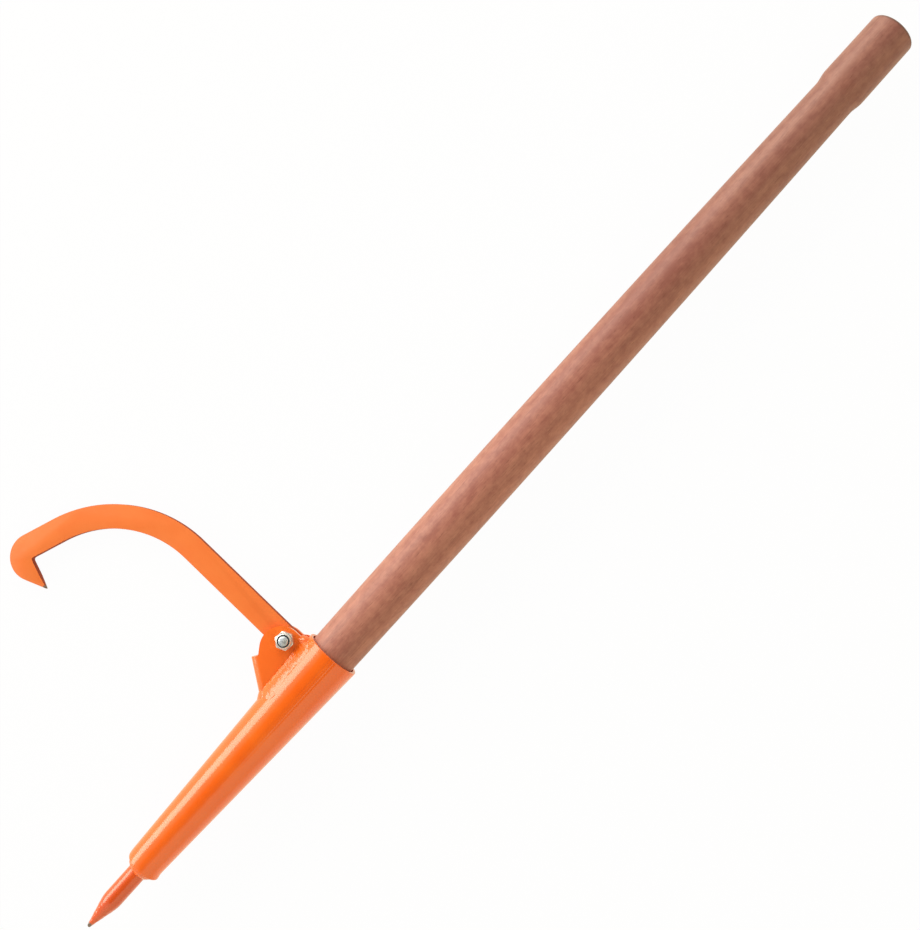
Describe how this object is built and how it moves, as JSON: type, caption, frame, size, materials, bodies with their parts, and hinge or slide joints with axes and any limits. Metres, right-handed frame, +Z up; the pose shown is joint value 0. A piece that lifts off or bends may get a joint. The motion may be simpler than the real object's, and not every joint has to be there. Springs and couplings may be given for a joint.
{
  "type": "peavey",
  "caption": "Log-rolling peavey: wooden handle in a tapered steel socket with a spike, and a flat steel hook that swings on a bolt in a welded bracket.",
  "frame": {"origin": "on the ground, under the middle of the tool as it lies", "axes": "+X along the handle towards the butt, +Y towards the side the hook stands out on, +Z up, with the nut on top"},
  "size_m": [1.203, 0.3464, 0.059],
  "materials": {
    "handle_wood": "turned hardwood, stained red-brown, satin",
    "paint": "glossy orange paint over welded steel",
    "bare_steel": "bare mild steel",
    "zinc": "bright zinc plating",
    "nylon": "dull nylon locking ring"
  },
  "bodies": {
    "haft": {"handle": "handle_wood", "socket": "paint", "socket_seam_weld": "paint", "spike_collar": "bare_steel", "spike": "paint", "spike_weld": "paint", "hook_bracket": "paint", "bracket_weld_front": "paint", "bracket_weld_back": "paint", "bracket_weld_toe": "paint", "bracket_weld_heel_front": "paint", "bracket_weld_heel_back": "paint", "handle_screw": "zinc", "pivot_bolt": "zinc", "lock_nut": "zinc", "nut_insert": "nylon"},
    "hook": {"hook": "paint"}
  },
  "joints": [
    {"name": "hook_pivot", "type": "hinge", "parent": "haft", "child": "hook", "pos_m": [-0.25569, -0.09992, 0.02602], "axis": [0.0065, 0.083, 0.9965], "range_deg": [-90, 48]}
  ]
}
